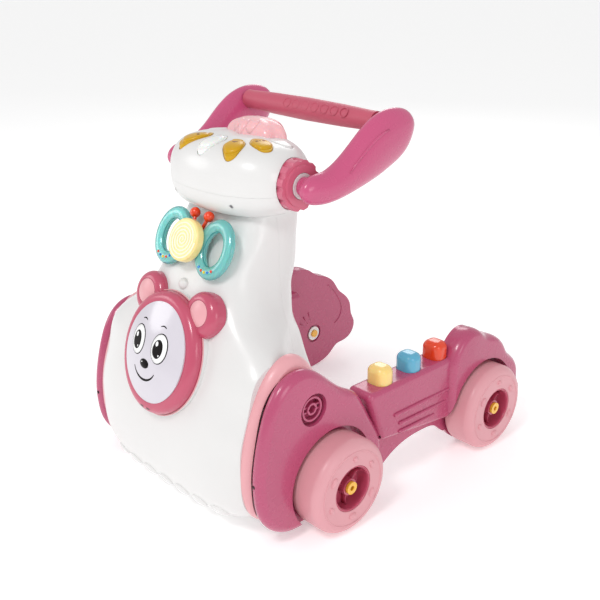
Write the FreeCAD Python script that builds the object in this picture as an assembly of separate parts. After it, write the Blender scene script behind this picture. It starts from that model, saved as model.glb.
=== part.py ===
"""Baby walker: a hollow bear-faced body on four wheels, with a console head, a push handle that
tilts, a spinning disc and press keys.

Layout, in millimetres: X across (+X is the right leg), Y from the bear face towards the child who
pushes, Z up from the floor. Everything is laid out from the front axle (Y = 0) and moved at export,
so that the origin of the finished part lies on the floor under the middle of its outline.
"""
import FreeCAD, Part
import math
import os

V = FreeCAD.Vector
X, Y, Z = V(1, 0, 0), V(0, 1, 0), V(0, 0, 1)
RIGHT, LEFT = 1, -1
SIDES = {"right": RIGHT, "left": LEFT}

# driving dimensions
FOOTPRINT_MIDDLE_Y = 117.58      # from the front axle to the middle of the whole outline
WALL = 3.0                       # moulded wall
GAP = 0.4                        # clearance between pieces that move past each other
FIT = 0.15                       # clearance where a curved piece sits on another
RUNNING = 0.05                   # radial clearance of a shaft in its hole
LOOP_EDGES = 8                   # edges in each closed outline of a slab with rounded faces
SMALLEST = 5.0                   # volume below which a leftover sliver is dropped

# wheels
WHEELBASE = 286.0
WHEEL_R = 60.0
AXLE_Z = WHEEL_R
TYRE_IN, TYRE_OUT = 161.0, 205.0  # faces of the tyre, from the centre plane
TYRE_SEAT_R = 29.5
OUTER_SHOULDER, INNER_SHOULDER = 12.0, 5.0
HUB_WEB = (183.0, 186.5)
HUB_BOSS_R = 10.5
HUB_BOSS = (162.0, 199.5)
HUB_WINDOWS = 3
PIN_R = 6.0
PIN_BORE_R = 3.2
PIN_HEAD_R = 8.0
PIN_HEAD = (200.0, 203.5)
PIN_START = 150.5
WELL_R = 66.0                    # wheel arch
WASHER_R = 11.5

# body
CHEEK_X = 140.0                  # flat sides of the white body
SPLIT_Y = 4.0                    # parting plane of the two shells
BODY_SECTIONS = [                # height, front y, back y, half width at the front, half width at the back
    (14, -98, 44, 100, 100), (24, -114, 52, 132, 118), (44, -127, 58, 157, 132), (80, -134, 60, 164, 137),
    (115, -134, 60, 165, 132), (145, -128, 60, 165, 116), (175, -118, 60, 165, 92), (205, -108, 58, 163, 77),
    (224, -101, 55, 152, 74), (242, -95, 52, 122, 73), (262, -89, 51, 96, 73), (285, -80, 53, 81, 74),
    (320, -58, 56, 75, 74), (350, -39, 57, 72, 73), (366, -30, 57, 70, 72)]
NECK_TOP = 366.0
DOOR_X, DOOR_Z = 40.0, (74.0, 128.0)   # battery door in the back
TRAY_Y = (22.0, 58.0)
SEAT_BACK = -40.0                # depth at which the bear's seat starts, inside the body

# head
HEAD_Y = 8.0
HEAD_SPLIT_Z = 393.0
HEAD_SECTIONS = [                # height, half width, half depth
    (366, 74, 50), (371, 86, 58), (382, 94, 64), (398, 97, 66), (414, 96, 65), (427, 91, 61), (437, 81, 54),
    (444, 64, 42), (448, 34, 22)]
HEAD_TOP = 448.0

# leaf-shaped keys on the head: angle from the front and distance of the middle, about (0, PETAL_HUB_Y)
PETALS = {"petal_key_1": (-37.0, 57.0), "petal_key_2": (37.0, 57.0), "petal_key_3": (68.0, 57.0),
          "petal_lamp": (0.0, 48.0)}
PETAL_HUB_Y = 19.0
PETAL_W, PETAL_L = 12.3, 19.5    # half width, half length
PETAL_FLANGE = 1.5
PETAL_TRAVEL = 1.5
PETAL_PROUD = 4.0
PETAL_FOOT = 418.0

# handle
PIVOT_Y, PIVOT_Z = 14.0, 403.0
SPIGOT_R = 11.0
SLEEVE_R = 15.0                  # fixed sleeve on the head that carries the spigot
SLEEVE_END = 105.0
COLLAR = (86.0, 104.0)
COLLAR_R = 29.5
COLLAR_FLUTES = 12
GRIP_Y, GRIP_Z, GRIP_R = 124.0, 463.0, 13.5
ARM_SECTIONS = [                 # x, y, z of the centre, half height, half thickness
    (122, -5, 402, 5, 4), (122, 2, 402, 13, 9), (122, 13, 402, 17, 12), (123, 28, 402, 18.5, 13.5),
    (124, 47, 406, 20.5, 14.5), (125, 71, 416, 25, 15.5), (126, 95, 429, 31, 15.5), (126, 118, 441, 34, 15),
    (126, 141, 449, 31.5, 13.5), (126, 159, 455, 23, 11), (126, 171, 458, 10, 6)]

# bear: measured from the back plane of the oval bezel
BEAR_TILT = 18.0
BEAR_Y, BEAR_Z = -113.0, 204.0   # middle of the bezel's back plane
BEZEL_A, BEZEL_B, BEZEL_DEPTH = 68.0, 74.0, 14.0
BEZEL_ROUND = 10.0
OPENING_A, OPENING_B = 54.5, 61.0
SEAT_MORE = 1.5                  # the white seat stands out round the bezel by this
FACE_FLOOR = 5.0                 # floor of the opening
FACE_TOP, FACE_DOME_R = 24.0, 185.0
EAR_X, EAR_UP, EAR_R = 49.5, 60.0, 27.5
EAR_FRONT, EAR_BACK, EAR_ROUND = 6.0, -14.0, 10.0
PAD_X, PAD_UP, PAD_R = 50.5, 62.0, 18.0
PAD_DOME_R, PAD_TOP = 40.0, 9.0

# spinner
SPIN_TILT = 25.0
SPIN_Y, SPIN_Z = -52.5, 325.0    # where its axis meets the neck
DISC_R, DISC_ROUND = 25.8, 2.6
DISC_BACK, DISC_DEPTH, DISC_PIN_R = 18.5, 11.5, 3.0
HUB_BACK, HUB_R = 5.0, 9.5
SHAFT_R = 4.0
WING_X, WING_A, WING_B = 39.5, 22.5, 28.0
WING_WIDE, WING_DEEP = 8.0, 6.0  # half sizes of the loop's section
WING_DEPTH = 12.0                # middle of the loops, from the neck
FEELER_BALL_R, FEELER_X, FEELER_UP, FEELER_DEPTH = 6.4, 13.0, 34.0, 12.5

# legs
TRIM_LEVELS = [(140, 0), (145, 1), (150, 4), (154, 9)]           # x, inset of the outline
FENDER_LEVELS = [(140, 18), (148, 15), (154, 4), (161, 0), (167, 2.5), (171, 10)]
REAR_LEVELS = [(158, 0), (172, 0), (178, 2.5), (182, 9)]
FENDER_OUT = 171.0
PLATE_IN, PLATE_OUT = 153.0, 158.0
BOX_IN, BOX_OUT = 134.0, 174.0
REAR_OUT = 182.0
KEY_YS = (100.0, 155.0, 208.0)
KEY_X = 153.5
KEY_W, KEY_L, KEY_TOP = 30.0, 27.0, 171.0
KEY_FLANGE, KEY_CORNER, KEY_CROWN = 1.0, 11.0, 9.5
BOX_TOP = 148.0
BOX_ROUND = 7.0
BOX_HOLLOW_Y = (84.0, 226.0)
RECESS_Y, RECESS_Z, RECESS_R = -32.0, 163.0, 20.0
RECESS_FLOOR = 160.0             # x of the floor of the round recess


def move(shape, x=0.0, y=0.0, z=0.0):
    placed = shape.copy()
    placed.translate(V(x, y, z))
    return placed


def sound(shape):
    """The shape as closed, valid solids: cleaned if that keeps it valid, repaired if it needs it."""
    cleaned = shape.removeSplitter()
    repaired = shape.copy()
    repaired.fix(0.001, 0.001, 0.01)
    for candidate in (cleaned, shape, repaired):
        if candidate.isValid() and candidate.Solids and candidate.Volume > 0:
            return candidate
    raise ValueError("not a sound solid")


def save(name, shape):
    """Writes one sub-part, moved so that the origin is under the middle of the outline."""
    whole = sound(shape)
    solids = [solid for solid in whole.Solids if solid.Volume > SMALLEST]
    whole = solids[0] if len(solids) == 1 else Part.makeCompound(solids)
    move(whole, y=-FOOTPRINT_MIDDLE_Y).exportStep("parts/" + name + ".step")


def mirrored(shape, side):
    return shape if side == RIGHT else shape.mirror(V(0, 0, 0), X)


def save_pair(name, shape):
    """Writes a right-hand sub-part and its mirror image; %s in the name stands for the side."""
    whole = sound(shape)
    for side_name, side in SIDES.items():
        save(name % side_name, mirrored(whole, side))


def smooth_loop(points):
    """A closed smooth curve through the points, as a wire."""
    curve = Part.BSplineCurve()
    curve.interpolate(points, PeriodicFlag=True)
    return Part.Wire([curve.toShape()])


def side_outline(points):
    """A closed smooth outline in a plane X = 0, from (y, z) pairs."""
    return smooth_loop([V(0, y, z) for y, z in points])


def side_slab(wire, x_from, x_to):
    """The outline made into a slab between two planes of constant X."""
    return move(Part.Face(wire), x=x_from).extrude(V(x_to - x_from, 0, 0))


def inset_outline(points, inset):
    """The (y, z) points of a clockwise or anticlockwise loop, each moved inwards by the inset."""
    moved = []
    area = sum(a[0] * b[1] - b[0] * a[1] for a, b in zip(points, points[1:] + points[:1]))
    turn = 1 if area > 0 else -1
    for k, (y, z) in enumerate(points):
        before, after = points[k - 1], points[(k + 1) % len(points)]
        dy, dz = after[0] - before[0], after[1] - before[1]
        size = math.hypot(dy, dz) * turn
        moved.append((y - inset * dz / size, z + inset * dy / size))
    return moved


def in_lengths(wire):
    """The closed curve of a wire as LOOP_EDGES edges, so that no face of a loft goes all the way round."""
    edge = wire.Edges[0]
    start, span = edge.FirstParameter, edge.LastParameter - edge.FirstParameter
    ends = [start + span * k / LOOP_EDGES for k in range(LOOP_EDGES + 1)]
    return Part.Wire([edge.Curve.toShape(a, b) for a, b in zip(ends, ends[1:])])


def pillow(points, levels):
    """A slab with rounded faces: levels are (x, inset of the outline there)."""
    wires = [move(in_lengths(side_outline(inset_outline(points, inset))), x=x) for x, inset in levels]
    return Part.makeLoft(wires, True, False)


def disc_x(y, z, r, x_from, x_to):
    return Part.makeCylinder(r, x_to - x_from, V(x_from, y, z), X)


def ring_x(y, z, r_in, r_out, x_from, x_to):
    return disc_x(y, z, r_out, x_from, x_to).cut(disc_x(y, z, r_in, x_from, x_to))


def block(x, y, z):
    """A block from three (low, high) pairs."""
    return Part.makeBox(x[1] - x[0], y[1] - y[0], z[1] - z[0], V(x[0], y[0], z[0]))


def spun(profile, y, z):
    """A turned solid about a line along X: profile is a list of (x, radius) corners."""
    corners = [V(x, 0, r) for x, r in profile]
    face = Part.Face(Part.makePolygon(corners + corners[:1]))
    return move(face.revolve(V(0, 0, 0), X, 360.0), y=y, z=z)


def top_edges(shape, z):
    return [e for e in shape.Edges if e.BoundBox.ZMin > z - 0.01]


def signed_power(u, power):
    return math.copysign(abs(u) ** power, u)


def ring_section(z, y_front, y_back, w_front, w_back, squareness, count=28):
    """A rounded, tapering plan outline of the body at one height."""
    points = []
    power = 2.0 / squareness
    for k in range(count):
        angle = 2 * math.pi * k / count
        across, along = signed_power(math.cos(angle), power), signed_power(math.sin(angle), power)
        share = (along + 1) / 2
        width = w_front + (w_back - w_front) * share * share * (3 - 2 * share)
        points.append(V(width * across, y_front + (y_back - y_front) * share, z))
    return smooth_loop(points)


def body_form(inset):
    """The body as a solid, its skin moved in by the inset."""
    low, high = BODY_SECTIONS[0][0] + inset, NECK_TOP - inset
    wires = []
    for z, front, back, w_front, w_back in BODY_SECTIONS:
        level = min(max(z, low), high)
        squareness = 4.0 if z < 215 else 3.2
        wires.append(ring_section(level, front + inset, back - inset, w_front - inset, w_back - inset,
                                  squareness))
    form = Part.makeLoft(wires, True, False)
    side = CHEEK_X - inset
    return form.common(block((-side, side), (-300, 300), (0, 600)))


def head_form(inset):
    wires = []
    for z, half_width, half_depth in HEAD_SECTIONS:
        level = min(max(z, HEAD_SECTIONS[0][0] + inset), HEAD_TOP - inset)
        wires.append(ring_section(level, HEAD_Y - half_depth + inset, HEAD_Y + half_depth - inset,
                                  half_width - inset, half_width - inset, 2.25, 20))
    return Part.makeLoft(wires, True, False)


def tilted(shape, tilt, y, z):
    """A shape built with +Z pointing out of the front, leaned back by tilt degrees and put at (0, y, z)."""
    leaned = shape.copy()
    leaned.rotate(V(0, 0, 0), X, 90 - tilt)
    leaned.translate(V(0, y, z))
    return leaned


# side outlines, as (y, z)
TRIM_LINE = [(-88, 27), (-106, 44), (-115, 70), (-117, 102), (-113, 134), (-103, 166), (-89, 196), (-70, 218),
             (-48, 227), (-26, 219), (-8, 198), (6, 172), (16, 140), (16, 80), (4, 40), (-30, 24), (-62, 22)]
FENDER_LINE = [(-60, 11), (-78, 16), (-96, 29), (-108, 47), (-114, 72), (-115, 100), (-111, 130),
               (-103, 161), (-91, 189), (-72, 209), (-44, 215), (-18, 203), (4, 184), (24, 169),
               (42, 158), (56, 140), (72, 112), (90, 76), (88, 52), (66, 26), (20, 14),
               (-24, 11)]
BOX_LINE = [(58, BOX_TOP), (236, BOX_TOP), (236, 56), (86, 76)]
REAR_LINE = [(214, 112), (217, 142), (230, 165), (252, 177), (276, 171), (288, 162), (306, 155), (331, 138),
             (343, 121), (358, 108), (371, 88), (374, 71), (381, 55), (375, 36), (356, 27), (340, 25),
             (322, 12), (300, 4), (270, 3), (246, 16), (228, 40), (218, 70)]
WEB_LINE = [(96, 20), (112, 32), (136, 43), (164, 48), (192, 48), (214, 42), (232, 28), (240, 60), (232, 92),
            (160, 96), (90, 92), (60, 70), (56, 40), (76, 16)]


def build_body():
    inside = body_form(WALL)
    filled = body_form(0).fuse(bear_seat(0, SEAT_BACK, 0))
    shell = filled.cut(inside).cut(bear_seat(WALL, SEAT_BACK - 10, -WALL))
    door = (-DOOR_X, DOOR_X), DOOR_Z
    door_pocket = block(door[0], (TRAY_Y[1] - 8, 80), door[1])
    tray = block((-DOOR_X - 4, DOOR_X + 4), (TRAY_Y[0], TRAY_Y[1]), (DOOR_Z[0] - 4, DOOR_Z[1] + 4))
    tray = tray.cut(block(door[0], (0, 80), door[1]))
    shell = shell.cut(door_pocket).cut(spin_axis_cylinder(SHAFT_R, -40, 20))
    front = shell.common(block((-300, 300), (-300, SPLIT_Y), (0, 600)))
    rear = shell.common(block((-300, 300), (SPLIT_Y, 300), (0, 600)))
    save("body_front_shell", front)
    save("body_rear_shell", rear.fuse(tray.common(inside)))
    save("battery_door", block((GAP - DOOR_X, DOOR_X - GAP), (52, 56), (DOOR_Z[0] + GAP, DOOR_Z[1] - GAP)))
    save("battery_cells", Part.makeCompound(
        [Part.makeCylinder(7.0, 50, V(15.0 * k - 22.5, 42, DOOR_Z[0] + 2)) for k in range(4)]))
    board = block((-35, 35), (-30, 0), (150, 151.6))
    save("circuit_board", board.fuse(block((-12, 12), (-20, -8), (151.6, 154))))


def spin_axis_cylinder(radius, start, length):
    """A cylinder on the spinner's axis; start is the distance outside the neck's skin."""
    return tilted(Part.makeCylinder(radius, length - start, V(0, 0, start), Z), SPIN_TILT, SPIN_Y, SPIN_Z)


def build_trim():
    rim_x, rim_inset = FENDER_LEVELS[2]
    covered = side_outline(inset_outline(FENDER_LINE, rim_inset - FIT))
    shown = pillow(TRIM_LINE, TRIM_LEVELS).cut(side_slab(covered, CHEEK_X - 1, rim_x + 1))
    save_pair("side_trim_%s", max(shown.Solids, key=lambda solid: solid.Volume))


def build_fenders():
    well = disc_x(0, AXLE_Z, WELL_R, PLATE_OUT + 1.0, 260)
    hollow = pillow(FENDER_LINE, [(139, 24), (150, 21), (160, 12), (166, 13)])
    hollow = hollow.cut(disc_x(0, AXLE_Z, WELL_R + WALL, PLATE_OUT - WALL, 260))
    hollow = hollow.cut(disc_x(RECESS_Y, RECESS_Z, RECESS_R + WALL, RECESS_FLOOR - WALL, 260))
    hollow = hollow.cut(disc_x(0, AXLE_Z, 2 * PIN_R, 100, 260))
    form = pillow(FENDER_LINE, FENDER_LEVELS).cut(hollow).cut(well)
    form = form.cut(disc_x(RECESS_Y, RECESS_Z, RECESS_R, RECESS_FLOOR, 260))
    form = form.cut(disc_x(0, AXLE_Z, PIN_R, 100, 230))
    form = form.cut(box_form()).cut(plate_form())
    socket = ring_x(RECESS_Y, RECESS_Z, 13.0, 15.5, RECESS_FLOOR, FENDER_OUT - 3.0)
    hexagon = Part.makePolygon([V(0, 5.5 * math.cos(a), 5.5 * math.sin(a))
                                for a in [math.radians(60 * k) for k in range(7)]])
    boss = disc_x(0, 0, 7.5, 0, 8.0).cut(Part.Face(hexagon).extrude(V(8.0, 0, 0)))
    socket = socket.fuse(move(boss, RECESS_FLOOR, RECESS_Y, RECESS_Z))
    for shift in (-3.0, 3.0):
        rib = block((RECESS_FLOOR, RECESS_FLOOR + 6.0), (-14, 14), (shift - 1.0, shift + 1.0))
        rib = rib.cut(disc_x(0, 0, 7.0, 100, 200))
        socket = socket.fuse(move(rib, y=RECESS_Y, z=RECESS_Z))
    save_pair("front_fender_%s", form)
    save_pair("leg_socket_%s", socket)


def box_form():
    """The key housing, filled."""
    corners = [V(BOX_IN, y, z) for y, z in BOX_LINE]
    slab = Part.Face(Part.makePolygon(corners + corners[:1])).extrude(V(BOX_OUT - BOX_IN, 0, 0))
    return slab.makeFillet(BOX_ROUND, [e for e in slab.Edges if e.BoundBox.YMin < BOX_LINE[1][0] - 0.01])


def box_hollow():
    return block((BOX_IN + WALL, BOX_OUT - WALL), BOX_HOLLOW_Y, (79, BOX_TOP - WALL))


def plate_form():
    web = side_slab(side_outline(WEB_LINE), PLATE_IN, PLATE_OUT)
    rear = side_slab(side_outline(REAR_LINE), PLATE_IN, PLATE_OUT)
    return web.fuse(rear).cut(box_form()).cut(box_hollow())


def build_legs():
    rear = pillow(REAR_LINE, REAR_LEVELS)
    upper = block((100, 260), (190, 420), (58, 220)).fuse(disc_x(WHEELBASE + 74, 62, 30, 100, 260))
    rear = rear.common(upper)
    well = disc_x(WHEELBASE, AXLE_Z, WELL_R, PLATE_OUT, 260)
    cover = box_form().fuse(rear).cut(box_hollow()).cut(well)
    plate = plate_form().cut(disc_x(WHEELBASE, AXLE_Z, 15.0, 100, PLATE_IN + 3.0))
    for y in KEY_YS:
        slot = move(key_prism(GAP, BOX_TOP - 10, BOX_TOP + 12), KEY_X, y)
        cover, plate = cover.cut(slot), plate.cut(slot)
    plate = plate.fuse(disc_x(WHEELBASE, AXLE_Z, 16.0, PLATE_IN + 3.0, TYRE_IN - 0.5))
    plate = plate.cut(disc_x(WHEELBASE, AXLE_Z, PIN_R, 100, 230))
    save_pair("leg_cover_%s", cover)
    save_pair("leg_plate_%s", plate)
    for number, y in enumerate(KEY_YS, 1):
        save_pair("key_%%s_%d" % number, move(key_form(), KEY_X, y))


def key_prism(grow, bottom, top):
    """The outline of a key, made bigger by grow, with rounded corners."""
    half_w, half_l = KEY_W / 2 + grow, KEY_L / 2 + grow
    prism = block((-half_w, half_w), (-half_l, half_l), (bottom, top))
    return prism.makeFillet(KEY_CORNER + grow, [e for e in prism.Edges if e.BoundBox.ZLength > 1])


def key_form():
    cap = key_prism(0, BOX_TOP - 6.0, KEY_TOP)
    cap = cap.makeFillet(KEY_CROWN, top_edges(cap, KEY_TOP))
    return cap.fuse(key_prism(KEY_FLANGE, BOX_TOP - 8.0, BOX_TOP - 6.0))


def build_wheels():
    centre = V(0, 0, 0)
    tyre = ring_x(0, 0, TYRE_SEAT_R, WHEEL_R, TYRE_IN, TYRE_OUT)
    for x, radius in ((TYRE_OUT, OUTER_SHOULDER), (TYRE_IN, INNER_SHOULDER)):
        crown = [e for e in tyre.Edges if abs(e.BoundBox.ZMax - WHEEL_R) < 0.01
                 and abs(e.BoundBox.XMin - x) < 0.01 and e.BoundBox.XLength < 0.02]
        tyre = tyre.makeFillet(radius, crown)
    rim_r = TYRE_SEAT_R - WALL
    hub = disc_x(0, 0, TYRE_SEAT_R, TYRE_IN + 2.0, TYRE_OUT - 2.0)
    hub = hub.cut(disc_x(0, 0, rim_r, TYRE_IN, HUB_WEB[0])).cut(disc_x(0, 0, rim_r, HUB_WEB[1], TYRE_OUT))
    hub = hub.fuse(disc_x(0, 0, HUB_BOSS_R, *HUB_BOSS)).cut(disc_x(0, 0, PIN_R + RUNNING, 150, 210))
    for k in range(HUB_WINDOWS):
        window = ring_x(0, 0, HUB_BOSS_R + 3.0, rim_r - 2.0, HUB_WEB[0] - 1, HUB_WEB[1] + 1)
        wedge = window.common(block((HUB_WEB[0] - 2, HUB_WEB[1] + 2), (-6, 6), (0, 40)))
        wedge.rotate(centre, X, 360.0 * k / HUB_WINDOWS)
        hub = hub.cut(wedge)
    for end, y in (("front", 0.0), ("rear", WHEELBASE)):
        pin = disc_x(0, 0, PIN_R, PIN_START, PIN_HEAD[0]).fuse(disc_x(0, 0, PIN_HEAD_R, *PIN_HEAD))
        pin = pin.cut(disc_x(0, 0, PIN_BORE_R, PIN_HEAD[1] - 14.0, PIN_HEAD[1] + 1))
        washer = ring_x(0, 0, PIN_R, WASHER_R, PLATE_IN, PLATE_IN + 1.8)
        if end == "front":
            washer = ring_x(0, 0, PIN_R, WASHER_R, PLATE_OUT + 1.2, PLATE_OUT + 2.8)
        for name, side in SIDES.items():
            where = (0, y, AXLE_Z)
            save("tyre_%s_%s" % (end, name), mirrored(move(tyre, *where), side))
            save("hub_%s_%s" % (end, name), mirrored(move(hub, *where), side))
            save("axle_pin_%s_%s" % (end, name), mirrored(move(pin, *where), side))
            save("axle_washer_%s_%s" % (end, name), mirrored(move(washer, *where), side))


def petal_wire(half_width, half_length, z):
    """A leaf with a blunt outer end, in a horizontal plane, its inner end towards +Y."""
    points = [(0, 1.0), (0.62, 0.72), (1.0, 0.05), (0.72, -0.72), (0.4, -1.0), (-0.4, -1.0), (-0.72, -0.72),
              (-1.0, 0.05), (-0.62, 0.72)]
    return smooth_loop([V(half_width * a, half_length * b, z) for a, b in points])


def petal_prism(half_width, half_length, z_from, z_to, petal):
    solid = Part.Face(petal_wire(half_width, half_length, z_from)).extrude(V(0, 0, z_to - z_from))
    angle, distance = petal
    solid = move(solid, y=-distance)
    solid.rotate(V(0, 0, 0), Z, angle)
    return move(solid, y=PETAL_HUB_Y)


def build_head():
    outer, inner = head_form(0), head_form(WALL)
    lower_half = block((-300, 300), (-300, 300), (300, HEAD_SPLIT_Z))
    shell = outer.cut(inner)
    seat_x = COLLAR[0] - GAP
    for side in (RIGHT, LEFT):
        seat = disc_x(PIVOT_Y, PIVOT_Z, COLLAR_R + 8.0, seat_x - WALL, seat_x)
        shell = shell.fuse(mirrored(seat, side).common(outer))
        sleeve = ring_x(PIVOT_Y, PIVOT_Z, SPIGOT_R + RUNNING, SLEEVE_R, 66, SLEEVE_END)
        shell = shell.cut(mirrored(disc_x(PIVOT_Y, PIVOT_Z, SLEEVE_R, 66, 130), side))
        shell = shell.cut(mirrored(disc_x(PIVOT_Y, PIVOT_Z, COLLAR_R + GAP, seat_x, 130), side))
        shell = shell.fuse(mirrored(sleeve, side))
    flower = flower_form(0.0)
    shell = shell.cut(flower_form(FIT))
    proud_skin = head_form(-PETAL_PROUD)
    for name, petal in PETALS.items():
        shell = shell.cut(petal_prism(PETAL_W + GAP, PETAL_L + GAP, PETAL_FOOT - 8, HEAD_TOP + 20, petal))
        leaf = petal_prism(PETAL_W, PETAL_L, PETAL_FOOT, HEAD_TOP + 20, petal).common(proud_skin)
        flange = petal_prism(PETAL_W + PETAL_FLANGE, PETAL_L + PETAL_FLANGE,
                             PETAL_FOOT - 2, PETAL_FOOT, petal)
        room = PETAL_FLANGE + GAP
        shell = shell.cut(petal_prism(PETAL_W + room, PETAL_L + room,
                                      PETAL_FOOT - 2 - PETAL_TRAVEL - GAP, PETAL_FOOT, petal))
        save(name, leaf.fuse(flange).cut(flower_form(FIT)))
    save("head_upper_shell", shell.cut(lower_half))
    save("head_lower_shell", shell.common(lower_half))
    save("flower_cover", flower)
    cone = Part.makeCone(22, 12, 12, V(0, 12, 378), Z)
    save("speaker", cone.fuse(Part.makeCylinder(14, 8, V(0, 12, 390), Z)))


def flower_form(grow):
    """The scalloped cover behind the petals: a dome of seven lobes, made bigger by grow."""
    wires = []
    lobes, centre_y = 7, 38.0
    for z, radius in ((430, 43.0), (446, 43.0), (455, 38.0), (461, 27.0), (464, 12.0)):
        points = []
        for k in range(lobes * 6):
            angle = 2 * math.pi * k / (lobes * 6)
            r = grow + radius * (1 + 0.06 * math.cos(lobes * angle))
            points.append(V(r * math.sin(angle), centre_y - 0.62 * r * math.cos(angle), z + grow))
        wires.append(smooth_loop(points))
    return Part.makeLoft(wires, True, False)


def build_handle():
    arm = arm_form()
    spigot = disc_x(PIVOT_Y, PIVOT_Z, SPIGOT_R, 72, 118)
    grip = spun([(-114, 0), (-114, GRIP_R - 1.5), (-104, GRIP_R - 1.5), (-60, GRIP_R), (0, GRIP_R + 0.8),
                 (60, GRIP_R), (104, GRIP_R - 1.5), (114, GRIP_R - 1.5), (114, 0)], GRIP_Y, GRIP_Z)
    arm = arm.fuse(spigot).cut(grip)
    collar = ring_x(0, 0, SLEEVE_R + GAP, COLLAR_R, *COLLAR)
    for k in range(COLLAR_FLUTES):
        angle = 2 * math.pi * k / COLLAR_FLUTES
        at = V(0, (COLLAR_R + 3.0) * math.cos(angle), (COLLAR_R + 3.0) * math.sin(angle))
        collar = collar.cut(disc_x(at.y, at.z, 5.0, COLLAR[0] + 3.0, COLLAR[1] + 1.0))
    collar = collar.cut(ring_x(0, 0, 24.0, 40.0, COLLAR[1] - 3.0, COLLAR[1] + 1.0))
    for name, side in SIDES.items():
        save("handle_arm_" + name, mirrored(arm, side))
        save("collar_" + name, mirrored(move(collar, 0, PIVOT_Y, PIVOT_Z), side))
    save("handle_grip", grip)


def arm_form():
    wires = []
    for k, (x, y, z, half_height, half_thick) in enumerate(ARM_SECTIONS):
        before = ARM_SECTIONS[max(k - 1, 0)]
        after = ARM_SECTIONS[min(k + 1, len(ARM_SECTIONS) - 1)]
        lean = math.atan2(after[2] - before[2], after[1] - before[1])
        up = V(0, -math.sin(lean), math.cos(lean))
        points = []
        for step in range(16):
            angle = 2 * math.pi * step / 16
            rise, reach = half_height * math.sin(angle), half_thick * math.cos(angle)
            points.append(V(x, y, z) + up * rise + X * reach)
        wires.append(smooth_loop(points))
    return Part.makeLoft(wires, True, False)


def oval(half_width, half_height, z_from, z_to):
    """An oval block, taller than wide, about the Z axis; +Y is up the face."""
    ellipse = Part.Ellipse(V(0, 0, z_from), half_height, half_width).toShape()
    ellipse.rotate(V(0, 0, 0), Z, 90)
    return Part.Face(Part.Wire([ellipse])).extrude(V(0, 0, z_to - z_from))


def bear_seat(inset, back, front):
    """The raised white seat that carries the bezel, from one depth to another."""
    block_of_seat = oval(BEZEL_A + SEAT_MORE - inset, BEZEL_B + SEAT_MORE - inset, back, front)
    return tilted(block_of_seat, BEAR_TILT, BEAR_Y, BEAR_Z)


def build_bear():
    """Built with +Z out of the face and +Y towards the ears, then leaned back on the body."""
    form = oval(BEZEL_A, BEZEL_B, 0, BEZEL_DEPTH)
    form = form.makeFillet(BEZEL_ROUND, top_edges(form, BEZEL_DEPTH))
    pads = []
    for side in (RIGHT, LEFT):
        ear = Part.makeCylinder(EAR_R, EAR_FRONT - EAR_BACK, V(side * EAR_X, EAR_UP, EAR_BACK))
        form = form.fuse(ear.makeFillet(EAR_ROUND, top_edges(ear, EAR_FRONT)))
        middle = V(side * PAD_X, PAD_UP, 0)
        pad = Part.makeSphere(PAD_DOME_R, middle + Z * (PAD_TOP - PAD_DOME_R))
        pad = pad.common(Part.makeCylinder(PAD_R, PAD_TOP, middle))
        pads.append(pad.cut(oval(OPENING_A + WALL, OPENING_B + WALL, -1, FACE_TOP)))
    opening = oval(OPENING_A, OPENING_B, FACE_FLOOR, FACE_TOP)
    face = Part.makeSphere(FACE_DOME_R, V(0, 0, FACE_TOP - FACE_DOME_R)).common(opening)
    seat = oval(BEZEL_A + SEAT_MORE + FIT, BEZEL_B + SEAT_MORE + FIT, EAR_BACK - 1, 0)
    for cutter in pads + [opening, seat]:
        form = form.cut(cutter)
    save("bear_bezel", tilted(form, BEAR_TILT, BEAR_Y, BEAR_Z).cut(body_form(-FIT)))
    save("bear_face", tilted(face, BEAR_TILT, BEAR_Y, BEAR_Z))
    for name, pad in zip(SIDES, pads):
        save("ear_pad_" + name, tilted(pad, BEAR_TILT, BEAR_Y, BEAR_Z))


def quartered(ellipse):
    """An ellipse as a wire of four arcs, so that no face of a tube made from it closes on itself."""
    quarter = math.pi / 2
    return Part.Wire([Part.ArcOfEllipse(ellipse, k * quarter, (k + 1) * quarter).toShape()
                      for k in range(4)])


def wing_form():
    """One oval loop of tube about the point (WING_X, 0), with +Z out of the front."""
    path = quartered(Part.Ellipse(V(0, 0, 0), WING_B, WING_A))
    start = V(WING_B, 0, 0)
    edge = V(WING_B + WING_WIDE, 0, 0)
    section = quartered(Part.Ellipse(edge, V(WING_B, 0, WING_DEEP), start))
    loop = path.makePipeShell([section], True, True)
    loop.rotate(V(0, 0, 0), Z, 90)
    return move(loop, WING_X, 0, WING_DEPTH)


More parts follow.
